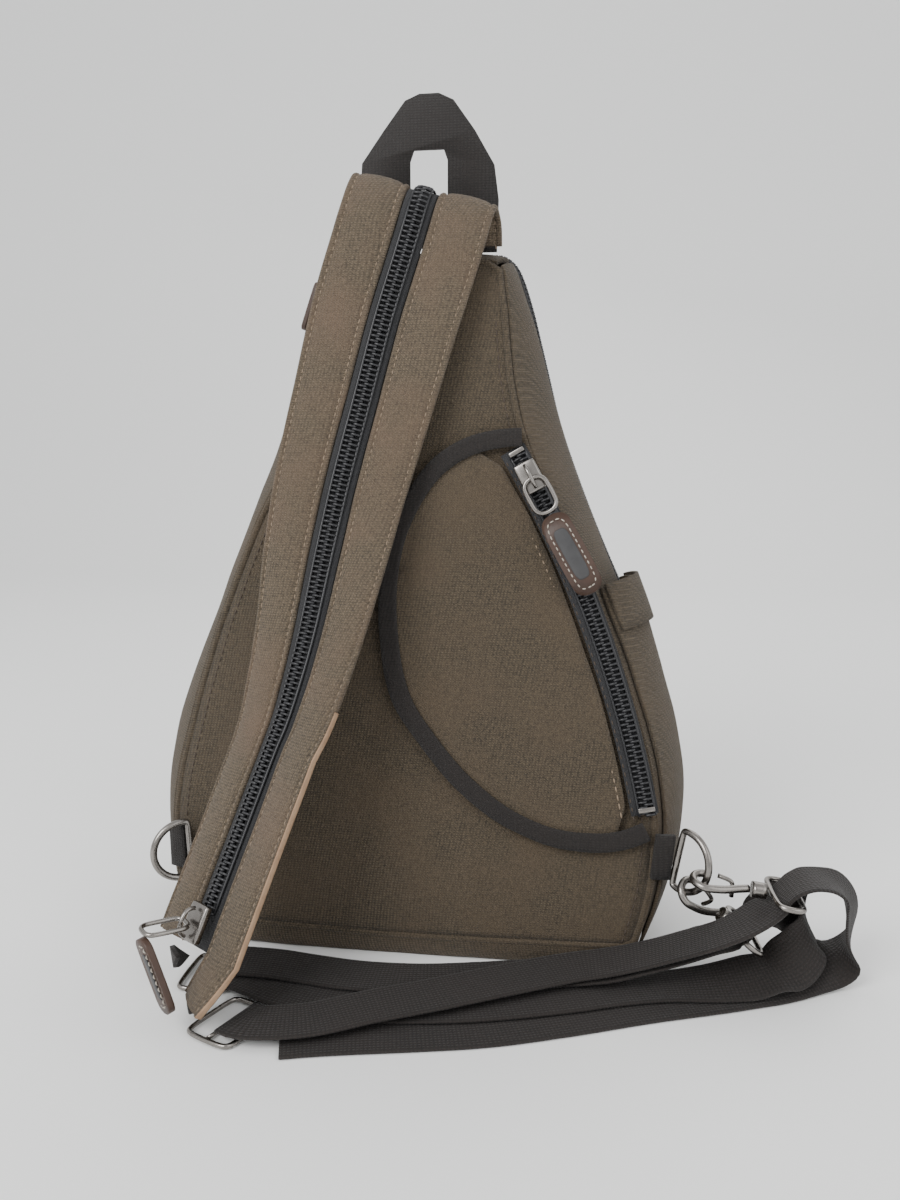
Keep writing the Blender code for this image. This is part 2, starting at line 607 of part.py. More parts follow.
def build_pocket_zip():
    top, foot = ZIP_ARC
    steps = 14
    angles = [top + (foot - top) * k / steps for k in range(steps + 1)]
    for name, first, last, width, lift, thick in (
            ("pocket_zip_tape", 0.0, 1.0, (-7.5, 5.5), 2.3, 0.9),
            ("pocket_zip_coil", 0.035, 0.965, (-4.0, 4.0), 4.0, 1.9)):
        inner = [top + (foot - top) * (first + (last - first) * k / steps) for k in range(steps + 1)]
        rows = [[zip_point(a, lift * MM, w * MM) for w in (width[0], 0, width[1])] for a in inner]
        shell(name, rows, thick * MM, "zip_black", offset=0)
    for name, angle in (("pocket_zip_top_stop", top - 0.25), ("pocket_zip_bottom_stop", foot + 0.25)):
        block(name, (2.6 * MM, 8 * MM, 2.4 * MM), zip_seat(angle, 4.3 * MM), "nickel", bevel=0.6 * MM)
    start = top - 1.75
    along_seat = zip_seat(start, 7.4 * MM)
    out = Vector((1, 0, 0)).cross(PANEL_SLOPE)
    slider = joint_empty("pocket_slider_joint", zip_point(0, 7.4 * MM, -ZIP_ARC_RADIUS))
    seat = along_seat
    along = Vector(seat.col[0][:3])
    across = Vector(seat.col[1][:3])
    block("pocket_slider", (16 * MM, 11 * MM, 4.2 * MM), seat, "nickel", slider, 1.4 * MM)
    bridge = [seat @ (Vector((x, 0, z)) * MM) for x, z in
              ((-5.5, 3.5), (-4.5, 5.2), (-2, 6.8), (2.5, 6.8), (5, 5.2), (6, 3.5))]
    tube("pocket_slider_bridge", bridge, 1.0 * MM, "nickel", parent=slider)
    hinge = seat @ (Vector((1.5, 0, 4.0)) * MM)
    pull = joint_empty("pocket_pull_joint", hinge)
    link = [hinge + along * (x + 9.0) * MM + across * y * MM for x, y in
            rounded_outline(18, 11.5, 4.5)]
    tube("pocket_pull_link", link, 1.2 * MM, "nickel", closed=True, parent=pull)
    tab_hinge = hinge + along * 18.0 * MM
    tab_pull = joint_empty("pocket_tab_joint", tab_hinge)
    seat = frame_matrix(tab_hinge + along * 22.8 * MM - out * 0.8 * MM, along, across)
    plate("pocket_pull_tab", rounded_outline(42 * MM, 15 * MM, 6 * MM), 3.0 * MM, seat, "leather",
          tab_pull)


# ---------------------------------------------------------------- handle and strap
def build_handle():
    """A loop of webbing, creased to a peak, that flops back about its sewn foot."""
    outer = ((-28.5, 0.4), (-29.5, 26), (-28.2, 46), (-17, 61), (-5.5, 75.5), (2, 78.5), (12, 78.5),
             (19.5, 75), (30.5, 60), (40.5, 43), (42.8, 26), (42, 0.4))
    inner = ((16.5, 0.4), (16.5, 46), (14.5, 51.5), (-1, 51.5), (-3, 46), (-3, 0.4))
    outline = [(x * MM, z * MM) for x, z in outer + inner]
    foot = Vector((0, 22 * MM, BODY_HEIGHT + 1.9 * MM))
    hinge = joint_empty("handle_joint", foot)
    seat = frame_matrix(foot, Vector((1, 0, 0)), Vector((0, 0, 1)))
    plate("carry_handle", outline, WEBBING_THICKNESS, seat, "webbing", hinge)


def strap_stations():
    """The strap's zip line, the direction across it and the width of a half, from top to tip."""
    points = [Vector(p) * MM for p, _, _ in STRAP]
    sides = [Vector(a).normalized() for _, a, _ in STRAP]
    halves = [w * MM for _, _, w in STRAP]
    line = smooth(points, 3)
    across = smooth(sides, 3)
    width = [v.x for v in smooth([Vector((w, 0, 0)) for w in halves], 3)]
    last = points[-1]
    for k in range(1, 5):
        line.append(last + (STRAP_FOOT - last) * k / 4)
        across.append(sides[-1])
        width.append(halves[-1] + (HALF_AT_FOOT - halves[-1]) * k / 4)
    for k in range(1, 4):
        line.append(STRAP_FOOT + (STRAP_TIP - STRAP_FOOT) * k / 3)
        across.append(sides[-1].lerp(TIP_ACROSS, k / 3))
        width.append(HALF_AT_FOOT)
    return line, across, width


def offset_band(line, across, start, width):
    """The middle line of a band that starts a distance to one side of the strap's zip line."""
    sign = 1 if start >= 0 else -1
    return [point + across[i].normalized() * (start + sign * width[i] / 2)
            for i, point in enumerate(line)]


def build_strap():
    line, across, width = strap_stations()
    edge = STRAP_GAP / 2
    for sign, name, drop in ((-1, "strap_half_left", 1), (1, "strap_half_right", 0)):
        count = len(line) - drop
        middle = offset_band(line[:count], across, sign * edge, width)
        rows = ribbon_rows(middle, across, width, 2, square=False)
        shell(name, rows, STRAP_THICKNESS, "canvas_light", offset=0)
    part = line[:len(line) - 3]
    for sign, name in ((-1, "strap_zip_tape_left"), (1, "strap_zip_tape_right")):
        middle = offset_band(part, across, sign * 0.2 * MM, [7.3 * MM] * len(part))
        shell(name, ribbon_rows(middle, across, 7.3 * MM, square=False), 0.9 * MM, "zip_black", offset=0)
    raised = []
    for i, point in enumerate(part):
        along = (part[min(i + 1, len(part) - 1)] - part[max(i - 1, 0)]).normalized()
        raised.append(point + along.cross(across[i]).normalized() * 1.9 * MM)
    shell("strap_zip_coil", ribbon_rows(raised, across, 9 * MM, square=False), 2.0 * MM,
          "zip_black", offset=0)


def strap_zip_frame():
    """The strap's straight stretch: its upper end, the way down, across, and out of its face."""
    top = Vector(STRAP[-1][0]) * MM
    along = (STRAP_FOOT - top).normalized()
    across = Vector(STRAP[-1][1])
    across = (across - along * across.dot(along)).normalized()
    return top, along, across, along.cross(across).normalized()


def build_strap_slider():
    top, along, across, outward = strap_zip_frame()
    length = (STRAP_FOOT - top).length
    start = top + along * (length - 10 * MM) + outward * 5.8 * MM
    slider = joint_empty("strap_slider_joint", start)
    seat = frame_matrix(start, along, outward.cross(along))
    block("strap_slider", (17 * MM, 12 * MM, 4.2 * MM), seat, "nickel", slider, 1.4 * MM)
    bridge = [seat @ (Vector((x, 0, z)) * MM) for x, z in
              ((-6, 3.5), (-5.2, 6.4), (-2.5, 8.2), (3, 8.2), (5.7, 6.4), (6.5, 3.5))]
    tube("strap_slider_bridge", bridge, 1.0 * MM, "nickel", parent=slider)
    hinge = seat @ (Vector((0.5, 0, 5.2)) * MM)
    pull = joint_empty("strap_pull_joint", hinge)
    reach = (outward * 0.88 + along * 0.40 - across * 0.22).normalized()
    wide = (across - reach * reach.dot(across)).normalized()
    link = [hinge + reach * (x + 9.5) * MM + wide * y * MM for x, y in rounded_outline(19, 12.0, 4)]
    tube("strap_pull_link", link, 1.15 * MM, "nickel", closed=True, parent=pull)
    tab_hinge = hinge + reach * 20.4 * MM
    tab_pull = joint_empty("strap_tab_joint", tab_hinge)
    hang = Vector((0.35, -0.06, -0.93)).normalized()
    seat = frame_matrix(tab_hinge + hang * 19.6 * MM, hang, Vector((0.75, -0.62, -0.12)))
    plate("strap_pull_tab", rounded_outline(34 * MM, 14 * MM, 5.5 * MM), 2.8 * MM, seat, "leather",
          tab_pull)


# ---------------------------------------------------------------- buckles and webbing
def buckle(name, centre, along, across):
    """A wire frame, 25 mm webbing wide, with a bar across its middle."""
    seat = frame_matrix(centre, along, across)
    wire = 1.25 * MM
    frame = [seat @ Vector((x, y, 0)) for x, y in rounded_outline(24.5 * MM, 31 * MM, 4 * MM, 2)]
    tube(name + "_frame", frame, wire, "nickel", closed=True)
    bar = [seat @ (Vector((0, y, 0)) * MM) for y in (-13.8, 13.8)]
    tube(name + "_bar", bar, 1.0 * MM, "nickel")


def build_buckles():
    line, across, width = strap_stations()
    first = Vector((-57, -126, 1.6)) * MM
    second = Vector((-80, -88, 1.6)) * MM
    near = Vector((0.916, -0.403, 0))
    for name, centre, along in (("buckle_1", first, near), ("buckle_2", second, Vector((1, 0, 0)))):
        buckle(name, centre, along, Vector((-along.y, along.x, 0)))
    for sign, name, centre, along, last in (
            (1, "strap_end_tab_right", first, near, len(line) - 1),
            (-1, "strap_end_tab_left", second, Vector((1, 0, 0)), len(line) - 2)):
        middle = offset_band(line, across, sign * STRAP_GAP / 2, width)
        run = (middle[last] - middle[last - 1]).normalized()
        start = middle[last] + run * 1.6 * MM - across[last].normalized() * 2.5 * MM
        end = centre - along * 15.6 * MM + Vector((0, 0, 3.4)) * MM
        points = [start, start.lerp(end, 0.5) - along * 1.5 * MM, end]
        lateral = Vector((along.y, -along.x, 0))
        sides = [across[last].lerp(lateral, k / 2) for k in range(3)]
        rows = ribbon_rows(points, sides, 14 * MM, square=False)
        shell(name, rows, 2.0 * MM, "webbing", offset=0)


def webbing(name, route):
    middle = smooth([Vector(p) * MM for p, _ in route], WEBBING_STEPS)
    across = smooth([Vector(a).normalized() for _, a in route], WEBBING_STEPS)
    shell(name, ribbon_rows(middle, across, WEBBING_WIDTH), WEBBING_THICKNESS, "webbing", offset=0)


# ---------------------------------------------------------------- rings and hooks
def ring_point(ring, angle):
    """A point of the bow of a D ring; the bow's centre is a little off the straight bar."""
    bar, up, out = ring_axes(ring)
    centre = bar + out * 4.0 * MM
    return centre + (out * math.cos(angle) + up * math.sin(angle)) * RING_RADIUS


def ring_axes(ring):
    bar, up, out = ring
    up = up.normalized()
    out = (out - up * out.dot(up)).normalized()
    return bar, up, out


def d_ring(name, ring):
    bar, up, _ = ring_axes(ring)
    reach = math.radians(104)
    bow = [ring_point(ring, -reach + 2 * reach * k / 14) for k in range(15)]
    straight = [bar + up * z * MM for z in (12.4, -12.4)]
    return tube(name, bow + straight, RING_WIRE, "nickel", closed=True,
                parent=joint_empty(name + "_joint", bar))


def ring_tab(name, seam, ring):
    """Folded webbing sewn into the side seam, which holds the ring's straight bar."""
    bar, up, _ = ring_axes(ring)
    run = (bar - seam).normalized()
    end = bar - run * (RING_WIRE + 0.9 * MM)
    middle = [seam, (seam + end) / 2, end]
    shell(name, ribbon_rows(middle, [up] * 3, 22 * MM), 2.4 * MM, "webbing", offset=0)


def hook(name, grip_angle, eye_end):
    """A swivel snap hook: body, spring gate, barrel and the eye that the webbing runs through."""
    grip = ring_point(RIGHT_RING, grip_angle)
    _, up, out = ring_axes(RIGHT_RING)
    wire_way = (up * math.cos(grip_angle) - out * math.sin(grip_angle)).normalized()
    along = (eye_end - grip).normalized()
    wire_way = (wire_way - along * wire_way.dot(along)).normalized()
    seat = frame_matrix(grip, along, along.cross(wire_way))
    reach = (eye_end - grip).length
    turn = joint_empty(name + "_joint", grip)
    nose = [(6.1 * math.cos(a), 6.1 * math.sin(a)) for a in
            (math.radians(70 + 220 * k / 9) for k in range(10))]
    body = [(reach / MM - 22.6, 0.3), (13.5, 2.2), (8, 4.8)] + nose
    tube(name + "_body", [seat @ (Vector((x, y, 0)) * MM) for x, y in body], 2.0 * MM, "nickel",
         parent=turn)
    barrel = [seat @ (Vector((reach / MM + x, 0, 0)) * MM) for x in (-21.0, -14.8)]
    tube(name + "_barrel", barrel, 3.9 * MM, "nickel", parent=turn, sides=3)
    pivot = seat @ (Vector((13.2, -3.4, 0)) * MM)
    gate_turn = joint_empty(name + "_gate_joint", pivot)
    gate = [(13.6, -3.4, 8.0), (13.2, -3.6, 1.5), (11.8, -4.2, 0), (6.2, -6.2, 0)]
    tube(name + "_gate", [seat @ (Vector(p) * MM) for p in gate], 1.2 * MM, "nickel",
         parent=gate_turn)
    lateral = Vector((0, 1, 0))
    eye_seat = frame_matrix(grip + along * (reach - 6.0 * MM), along, lateral)
    swivel = joint_empty(name + "_eye_joint", eye_seat.translation)
    eye = [eye_seat @ Vector((x, y, 0)) for x, y in rounded_outline(12 * MM, 31.5 * MM, 4 * MM, 2)]
    tube(name + "_eye", eye, 1.5 * MM, "nickel", closed=True, parent=swivel)


def build_hardware():
    d_ring("d_ring_right", RIGHT_RING)
    d_ring("d_ring_left", LEFT_RING)
    ring_tab("ring_tab_right", Vector((125.0, -54.2, 57)) * MM, RIGHT_RING)
    ring_tab("ring_tab_left", Vector((-113.0, -55.2, 50.5)) * MM, LEFT_RING)
    for name, (angle, eye_end) in HOOKS.items():
        hook(name, angle, eye_end)
    webbing("webbing_outer", OUTER_WEBBING)
    webbing("webbing_inner", INNER_WEBBING)


clear_scene()
bag = make_collection("sling_bag")
build_body()
build_main_zip()
build_side_pocket()
build_back_pocket()
build_pocket_zip()
build_handle()
build_strap()
build_strap_slider()
build_buckles()
build_hardware()
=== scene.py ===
"""A canvas sling bag with a split, zipped shoulder strap: the looks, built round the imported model."""
import json
import math
import bmesh
import bpy
from mathutils import Matrix, Vector, noise
from mathutils.bvhtree import BVHTree


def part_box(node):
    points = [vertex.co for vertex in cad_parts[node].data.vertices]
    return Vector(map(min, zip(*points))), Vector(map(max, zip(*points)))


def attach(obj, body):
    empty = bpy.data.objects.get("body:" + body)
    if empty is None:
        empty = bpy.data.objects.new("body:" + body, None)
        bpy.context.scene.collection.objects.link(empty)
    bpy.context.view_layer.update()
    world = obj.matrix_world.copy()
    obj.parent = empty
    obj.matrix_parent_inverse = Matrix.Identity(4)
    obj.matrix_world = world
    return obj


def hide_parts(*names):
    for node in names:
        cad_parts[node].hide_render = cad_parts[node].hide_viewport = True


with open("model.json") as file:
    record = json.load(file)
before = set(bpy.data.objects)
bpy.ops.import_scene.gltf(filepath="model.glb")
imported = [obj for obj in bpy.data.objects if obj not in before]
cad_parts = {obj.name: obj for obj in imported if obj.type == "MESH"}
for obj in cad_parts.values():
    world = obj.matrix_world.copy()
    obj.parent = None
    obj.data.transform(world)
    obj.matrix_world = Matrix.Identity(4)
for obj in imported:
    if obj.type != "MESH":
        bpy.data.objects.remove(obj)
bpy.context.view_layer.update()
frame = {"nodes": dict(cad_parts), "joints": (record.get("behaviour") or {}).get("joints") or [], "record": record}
MM = 0.001
WELT_RADIUS = 1.9

# Middle line of the strap's zip, the direction across it and the width of a half, top to foot, in mm.
STRAP = (
    ((9.5, 7.5, 347.2), (1, 0, 0), 28.5),
    ((9.5, 6.8, 359), (0.995, 0, -0.10), 28.5),
    ((9.4, 4.0, 367.5), (0.98, 0, -0.20), 28.5),
    ((8.6, -2.5, 371.5), (0.97, 0.02, -0.24), 28.5),
    ((7.0, -8.8, 365.5), (0.965, 0.04, -0.26), 28.5),
    ((4.2, -12.7, 354), (0.96, 0.06, -0.28), 28.5),
    ((-0.6, -15.6, 337.4), (0.955, 0.07, -0.29), 28.4),
    ((-8.8, -21.4, 308.6), (0.965, 0.03, -0.26), 28.2),
    ((-17.8, -29.5, 270.2), (0.97, 0.03, -0.24), 26.5),
    ((-26.8, -37.8, 232), (0.975, 0.03, -0.22), 24.6),
    ((-33.6, -48.2, 194.3), (0.985, -0.10, -0.15), 22.9),
    ((-39.1, -60.7, 157.6), (0.945, -0.31, -0.10), 21.4),
    ((-45.5, -74.0, 126), (0.87, -0.49, -0.05), 21.1),
    ((-50.3, -81.0, 110.3), (0.83, -0.56, 0.0), 21.0),
)
STRAP_FOOT = ((-74.9, -116.9, 30), (0.83, -0.56, 0), 20.5)
STRAP_TIP = ((-79.3, -122.5, 17.5), (0.55, -0.82, -0.09), 20.5)
STRAP_GAP = 16.0
STRAP_HALF_THICKNESS = 2.3

# Webbing routes in mm: a point on the middle line and the direction across it.
OUTER_WEBBING = (
    ((-54.5, -128, 5.2), (-0.40, -0.92, 0)),
    ((-44, -131.5, 6.0), (-0.10, -0.99, 0)),
    ((-22, -126.5, 6.2), (0.30, -0.95, 0)),
    ((2, -114.5, 7.0), (0.42, -0.90, 0)),
    ((26, -104.5, 8.2), (0.42, -0.90, 0)),
    ((51, -91.5, 8.5), (0.45, -0.89, 0)),
    ((84, -75, 9.0), (0.28, -0.96, 0)),
    ((104, -72, 12), (0.08, -1, 0)),
    ((122, -71.5, 17), (0, -1, 0)),
    ((140, -72.2, 24), (0, -1, 0)),
    ((153, -73, 29.6), (0, -1, 0)),
    ((164, -71.8, 35), (0.10, -0.99, 0)),
    ((173, -67.5, 39.2), (0.12, -0.99, 0)),
    ((179, -64, 42.4), (0, -1, 0)),
    ((183, -62.2, 46.4), (0, -1, 0)),
    ((187.5, -61.4, 50.4), (0, -1, 0)),
    ((194.5, -60, 52.8), (0, -1, 0)),
    ((203, -57.5, 51.2), (-0.12, -0.98, 0.05)),
    ((210.5, -54.5, 46), (-0.28, -0.94, 0.05)),
    ((215.5, -51.5, 36), (-0.40, -0.90, 0)),
    ((217, -49, 24.5), (-0.36, -0.90, -0.18)),
    ((214.5, -49, 14.5), (-0.12, -0.88, -0.42)),
    ((209, -51.5, 9.5), (0.16, -0.83, -0.52)),
    ((196, -57, 6.6), (0.26, -0.85, -0.45)),
    ((181, -64.5, 4.0), (0.32, -0.91, -0.26)),
    ((165, -71, 1.9), (0.30, -0.95, -0.07)),
    ((150, -77, 1.1), (0.28, -0.96, 0)),
    ((118, -89, 1.05), (0.33, -0.94, 0)),
    ((85, -103, 1.05), (0.33, -0.94, 0)),
    ((53, -115, 1.05), (0.24, -0.97, 0)),
    ((25, -122, 1.05), (0.20, -0.98, 0)),
    ((-3, -128, 1.05), (0.22, -0.97, 0)),
    ((-20, -132, 1.05), (0.24, -0.97, 0)),
    ((-32.5, -135.5, 1.05), (0.26, -0.97, 0)),
)
INNER_WEBBING = (
    ((-77.5, -88, 8.3), (0, -1, 0)),
    ((-66, -87.5, 8.3), (0, -1, 0)),
    ((-50, -86, 7.2), (0, -1, 0)),
    ((-34, -85.5, 5.5), (-0.05, -1, 0)),
    ((-10, -87.5, 5.2), (0, -1, 0)),
    ((18, -86.5, 5.4), (0.14, -0.99, 0)),
    ((46, -81, 5.4), (0.30, -0.95, 0)),
    ((78, -73.5, 5.8), (0.25, -0.97, 0)),
    ((104, -71.2, 8.6), (0.08, -0.99, 0)),
    ((121, -70.5, 13.6), (0.05, -1, 0)),
    ((136, -67, 17.6), (0.15, -0.99, 0)),
    ((148, -60.5, 19.3), (0.20, -0.98, 0)),
    ((157, -54.5, 19.2), (0.10, -0.99, 0)),
    ((162.8, -52.2, 19.8), (0, -1, 0)),
    ((168, -51.8, 22.8), (0, -1, 0)),
    ((172.8, -51, 28.2), (0, -1, 0)),
    ((179.6, -47.4, 30), (-0.10, -0.89, -0.44)),
    ((185.6, -44.5, 31.2), (0.17, -0.44, -0.88)),
    ((191.2, -42.4, 30.1), (-0.07, -0.11, -0.99)),
    ((194.8, -44.3, 29), (0.28, -0.25, -0.93)),
    ((196.8, -49.1, 26.8), (0.36, -0.28, -0.89)),
    ((196.5, -55.2, 23.3), (0.21, -0.32, -0.92)),
    ((193.4, -60.6, 18.8), (0.64, -0.17, -0.75)),
    ((187.2, -64.4, 14.4), (0, -0.60, -0.80)),
    ((178.3, -67.2, 10.7), (-0.46, -0.80, -0.38)),
    ((166.8, -69.5, 7.8), (0.27, -0.91, -0.32)),
    ((151, -71.8, 5.4), (0.08, -0.98, -0.17)),
    ((130, -74, 3.3), (0.15, -0.99, 0)),
    ((108, -80, 3.2), (0.25, -0.97, 0)),
    ((82, -90, 3.2), (0.25, -0.97, 0)),
    ((45, -101.5, 3.2), (0.16, -0.99, 0)),
    ((8, -107.5, 3.2), (0.02, -1, 0)),
    ((-18, -106.5, 3.2), (-0.05, -0.99, 0)),
    ((-40, -103, 4.1), (-0.12, -0.98, 0)),
    ((-55, -97.5, 5.0), (-0.14, -0.98, 0)),
    ((-67, -92.5, 5.2), (-0.06, -0.99, 0)),
)
WEBBING_WIDTH = 25.0
WEBBING_THICKNESS = 1.5

bodies = {}
for body_name, members in frame["record"]["behaviour"]["bodies"].items():
    for member in members:
        bodies[member] = body_name
joints = {joint["name"]: joint for joint in frame["joints"]}


# ---------------------------------------------------------------- helpers
def smooth(points, steps):
    """Catmull-Rom curve through the points, a number of steps in each span."""
    out = []
    for i in range(len(points) - 1):
        p1, p2 = points[i], points[i + 1]
        p0 = points[i - 1] if i > 0 else p1 * 2 - p2
        p3 = points[i + 2] if i + 2 < len(points) else p2 * 2 - p1
        for k in range(steps):
            t = k / steps
            out.append(0.5 * ((p1 * 2) + (p2 - p0) * t + (p0 * 2 - p1 * 5 + p2 * 4 - p3) * t * t
                              + (p1 * 3 - p0 - p2 * 3 + p3) * t * t * t))
    out.append(points[-1])
    return out


def frames_along(middle, across):
    """(point, along, across, normal) at each point of a line, made square."""
    rows = []
    for i, point in enumerate(middle):
        along = (middle[min(i + 1, len(middle) - 1)] - middle[max(i - 1, 0)]).normalized()
        side = (across[i] - along * across[i].dot(along)).normalized()
        rows.append((point, along, side, along.cross(side).normalized()))
    return rows


def new_object(name, mesh, material, body):
    obj = bpy.data.objects.new(name, mesh)
    bpy.context.scene.collection.objects.link(obj)
    mesh.materials.clear()
    mesh.materials.append(material)
    mesh.shade_smooth()
    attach(obj, body)
    return obj


def mesh_from(name, bm):
    bmesh.ops.recalc_face_normals(bm, faces=bm.faces)
    mesh = bpy.data.meshes.new(name)
    bm.to_mesh(mesh)
    bm.free()
    return mesh


def loft(name, rows, widths, section, material, body):
    """A band along rows of frames; section gives (share of the width, height) round the band's edge."""
    bm = bmesh.new()
    uv_layer = bm.loops.layers.uv.new("band")
    rings, run = [], 0.0
    place = {}
    for i, (point, _, side, normal) in enumerate(rows):
        if i:
            run += (point - rows[i - 1][0]).length
        ring = []
        for share, height in section(i):
            vertex = bm.verts.new(point + side * share * widths[i] + normal * height)
            place[vertex] = (run, share * widths[i])
            ring.append(vertex)
        rings.append(ring)
    count = len(rings[0])
    for first, second in zip(rings, rings[1:]):
        for k in range(count):
            n = (k + 1) % count
            bm.faces.new((first[k], first[n], second[n], second[k]))
    for ring in (rings[0], rings[-1]):
        bm.faces.new(ring)
    for face in bm.faces:
        for corner in face.loops:
            u, v = place[corner.vert]
            corner[uv_layer].uv = (u * 10, v * 10)
    return new_object(name, mesh_from(name, bm), material, body)


def cloth_shift(point):
    """How far the canvas has crept from its drawn shape: the same for every piece at a place."""
    broad = noise.noise_vector(point * 16)
    fine = noise.noise_vector(point * 41 + Vector((3, 1, 7)))
    return broad * 1.5 * MM + fine * 0.55 * MM


def refined(node, material, levels=2, soft=True, crease=math.radians(50)):
    """A smooth copy of a CAD node's shape, with the cloth's creep where it is soft."""
    bm = bmesh.new()
    bm.from_mesh(frame["nodes"][node].data)
    bmesh.ops.remove_doubles(bm, verts=bm.verts, dist=2e-6)
    bmesh.ops.join_triangles(bm, faces=bm.faces, angle_face_threshold=0.7,
                             angle_shape_threshold=1.6)
    bmesh.ops.recalc_face_normals(bm, faces=bm.faces)
    if crease:
        weight = bm.edges.layers.float.new("crease_edge")
        for edge in bm.edges:
            if len(edge.link_faces) == 2 and edge.calc_face_angle() > crease:
                edge[weight] = 1.0
    mesh = mesh_from(node + "_smooth", bm)
    obj = bpy.data.objects.new(node + "_look", mesh)
    bpy.context.scene.collection.objects.link(obj)
    surface = obj.modifiers.new("surface", "SUBSURF")
    surface.levels = surface.render_levels = levels
    bpy.context.view_layer.update()
    done = bpy.data.meshes.new_from_object(obj.evaluated_get(bpy.context.evaluated_depsgraph_get()))
    obj.modifiers.clear()
    obj.data = done
    done.materials.clear()
    done.materials.append(material)
    if soft:
        for vertex in done.vertices:
            vertex.co += cloth_shift(vertex.co)
    done.shade_smooth()
    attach(obj, bodies[node])
    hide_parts(node)
    return obj


def stitches(name, points, normals, material, body, pitch=4.2, dash=3.0, thick=0.42):
    """A row of stitches: short raised threads laid end to end along a line."""
    bm = bmesh.new()
    run, want = 0.0, 0.0
    for a, b, normal in zip(points, points[1:], normals):
        step = b - a
        if step.length < 1e-7:
            continue
        along = step.normalized()
        side = normal.cross(along).normalized()
        while want <= run + step.length:
            centre = a + along * (want - run) + normal * 0.15 * MM
            rings = []
            for t, size in ((-0.5, 0.35), (-0.3, 0.9), (0, 1.0), (0.3, 0.9), (0.5, 0.35)):
                middle = centre + along * t * dash * MM - normal * (abs(t) * 0.7 * MM)
                rings.append([bm.verts.new(middle + (side * math.cos(q) + normal * math.sin(q))
                                           * thick * size * MM)
                              for q in (math.radians(60 * k) for k in range(6))])
            for first, second in zip(rings, rings[1:]):
                for k in range(6):
                    bm.faces.new((first[k], first[(k + 1) % 6], second[(k + 1) % 6], second[k]))
            bm.faces.new(rings[0])
            bm.faces.new(rings[-1])
            want += pitch * MM
        run += step.length
    return new_object(name, mesh_from(name, bm), material, body)


def surface_tree(obj):
    bm = bmesh.new()
    bm.from_mesh(obj.data)
    tree = BVHTree.FromBMesh(bm)
    bm.free()
    return tree


# ---------------------------------------------------------------- materials
def node_material(name, slot_colour, roughness, metallic=0.0, sheen=0.0, coat=0.0):
    material = bpy.data.materials.new(name)
    material.use_nodes = True
    shader = material.node_tree.nodes["Principled BSDF"]
    shader.inputs["Base Color"].default_value = (*slot_colour, 1)
    shader.inputs["Roughness"].default_value = roughness
    shader.inputs["Metallic"].default_value = metallic
    shader.inputs["Sheen Weight"].default_value = sheen
    shader.inputs["Coat Weight"].default_value = coat
    return material, material.node_tree, shader


def add(tree, kind, **values):
    node = tree.nodes.new(kind)
    for key, value in values.items():
        if key in node.inputs:
            node.inputs[key].default_value = value
        else:
            setattr(node, key, value)
    return node


def threads(tree, source, turn, pitch):
    """A wave across a direction; pitch is the distance between two threads in metres."""
    mapping = add(tree, "ShaderNodeMapping")
    mapping.inputs["Rotation"].default_value = turn
    tree.links.new(source, mapping.inputs["Vector"])
    wave = add(tree, "ShaderNodeTexWave", wave_type="BANDS", bands_direction="X")
    wave.inputs["Scale"].default_value = 0.314159 / pitch
    wave.inputs["Distortion"].default_value = 1.6
    wave.inputs["Detail"].default_value = 1.0
    wave.inputs["Detail Scale"].default_value = 0.25 / pitch
    tree.links.new(mapping.outputs["Vector"], wave.inputs["Vector"])
    return wave.outputs["Fac"]


def math_node(tree, operation, a, b):
    node = add(tree, "ShaderNodeMath", operation=operation)
    for socket, value in zip(node.inputs, (a, b)):
        if isinstance(value, (int, float)):
            socket.default_value = value
        else:
            tree.links.new(value, socket)
    return node.outputs[0]


def colour_between(tree, factor, low, high):
    ramp = add(tree, "ShaderNodeMix", data_type="RGBA")
    tree.links.new(factor, ramp.inputs[0])
    ramp.inputs[6].default_value = (*low, 1)
    ramp.inputs[7].default_value = (*high, 1)
    return ramp.outputs[2]


